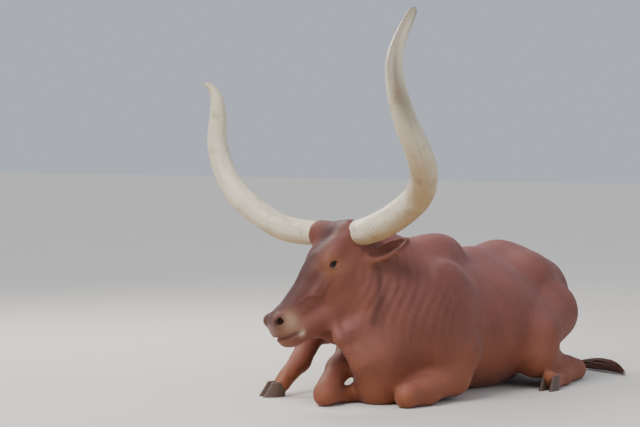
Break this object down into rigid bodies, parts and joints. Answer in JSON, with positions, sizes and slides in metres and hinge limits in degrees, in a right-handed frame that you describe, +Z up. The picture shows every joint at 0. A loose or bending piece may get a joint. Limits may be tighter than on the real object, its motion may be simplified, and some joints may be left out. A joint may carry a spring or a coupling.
{
  "type": "long-horned ox, lying",
  "caption": "Life-size still model of a red-brown ox with very long lyre horns, lying on its brisket with its head turned aside.",
  "frame": {"origin": "on the floor, under the middle of the whole box", "axes": "+Z up, the body faces -Y, its left side is +X"},
  "size_m": [1.5976, 2.1558, 1.8203],
  "materials": {
    "hide": "short red-brown summer coat, satin sheen",
    "horn": "cream keratin sheath with rings at the root and grey-brown tips",
    "hoof": "dark horn with fine growth rings",
    "eye": "wet dark brown eye",
    "tail_hair": "coarse dark tail hair"
  },
  "bodies": {
    "root": {"head": "hide", "neck": "hide", "torso": "hide", "ear_left": "hide", "ear_right": "hide", "eye_left": "eye", "eye_right": "eye", "horn_left": "horn", "horn_right": "horn", "forehoof_left": "hoof", "forehoof_right": "hoof", "hindhoof_left": "hoof", "hindhoof_right": "hoof", "foreleg_left": "hide", "foreleg_right": "hide", "hindleg_left": "hide", "hindleg_right": "hide", "tail": "hide", "tail_switch": "tail_hair"}
  },
  "joints": []
}
